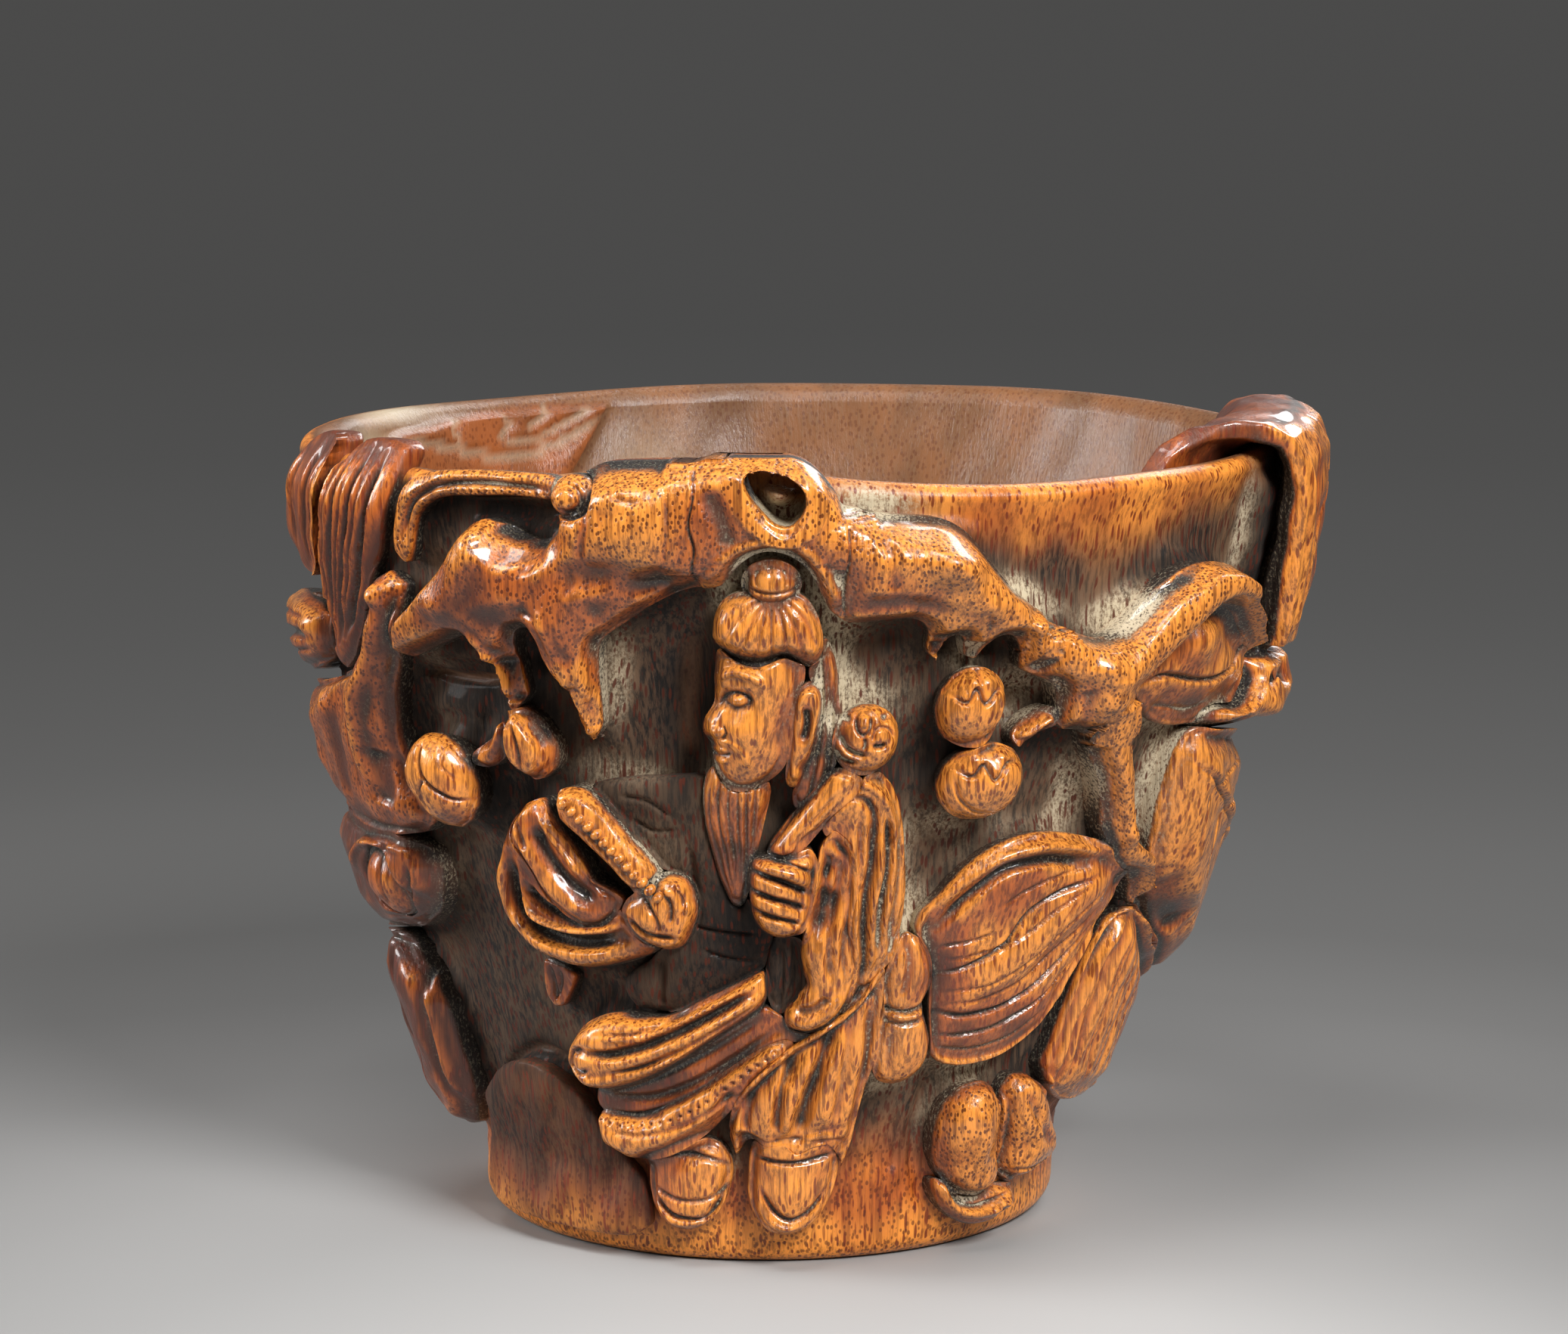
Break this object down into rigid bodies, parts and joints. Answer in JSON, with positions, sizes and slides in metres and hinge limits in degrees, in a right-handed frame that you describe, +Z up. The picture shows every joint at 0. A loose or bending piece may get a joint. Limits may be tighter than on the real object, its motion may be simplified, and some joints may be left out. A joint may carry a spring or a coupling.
{
  "type": "libation cup",
  "caption": "Flaring bamboo cup for libations, hollow and flat-footed, carved in high relief with a fruit tree, leaves and nuts and a bearded figure with a staff under the bough.",
  "frame": {"origin": "centre of the flat foot", "axes": "+Z up out of the cup's mouth, -Y towards the carved figure, +X to the side with the leaf folded over the rim"},
  "size_m": [0.1109, 0.1029, 0.0873],
  "materials": {
    "bamboo_wall": "cut-back bamboo ground, darkened, satin",
    "bamboo_worn": "handled bamboo, polished bright, with red-brown fibre flecks",
    "bamboo_dim": "carved bamboo, red-brown, satin"
  },
  "bodies": {
    "root": {"back_bough_left": "bamboo_worn", "back_bough_right": "bamboo_worn", "back_leaf_left": "bamboo_worn", "back_leaf_right": "bamboo_worn", "beard": "bamboo_worn", "boot_left": "bamboo_worn", "boot_right": "bamboo_worn", "bough_right": "bamboo_worn", "cup_body": "bamboo_wall", "ear": "bamboo_worn", "face": "bamboo_worn", "forearm": "bamboo_worn", "fruit_left": "bamboo_worn", "fruit_right_lower": "bamboo_worn", "fruit_right_upper": "bamboo_worn", "hair_back": "bamboo_dim", "hair_cap": "bamboo_worn", "hand_left": "bamboo_worn", "hand_right": "bamboo_worn", "husk_left": "bamboo_dim", "leaf_curl": "bamboo_dim", "leaf_edge_right": "bamboo_worn", "leaf_large": "bamboo_worn", "leaf_left_back": "bamboo_worn", "leaf_left_rim": "bamboo_dim", "leaf_left_side": "bamboo_worn", "leaf_narrow": "bamboo_worn", "leaf_over_rim": "bamboo_dim", "mound": "bamboo_wall", "nut_front": "bamboo_worn", "nut_husk": "bamboo_dim", "nut_left": "bamboo_worn", "nut_side": "bamboo_worn", "pod_left": "bamboo_worn", "pouch": "bamboo_worn", "rim_lobe_left": "bamboo_dim", "rim_ribbon": "bamboo_worn", "robe_back": "bamboo_worn", "sash_end": "bamboo_dim", "skirt_hem": "bamboo_worn", "skirt_middle": "bamboo_dim", "skirt_right": "bamboo_worn", "skirt_roll": "bamboo_worn", "sleeve_left_flap": "bamboo_worn", "sleeve_left_outer": "bamboo_worn", "sleeve_lining": "bamboo_wall", "sleeve_right": "bamboo_worn", "staff_head": "bamboo_worn", "staff_shaft": "bamboo_worn", "stem_left": "bamboo_dim", "stem_right": "bamboo_worn", "tongue_leaf": "bamboo_worn", "topknot": "bamboo_worn", "torso": "bamboo_wall", "trunk_crown": "bamboo_dim", "trunk_knob": "bamboo_worn", "trunk_left": "bamboo_worn", "trunk_right": "bamboo_worn", "twig_left": "bamboo_dim", "twig_right": "bamboo_dim"}
  },
  "joints": []
}
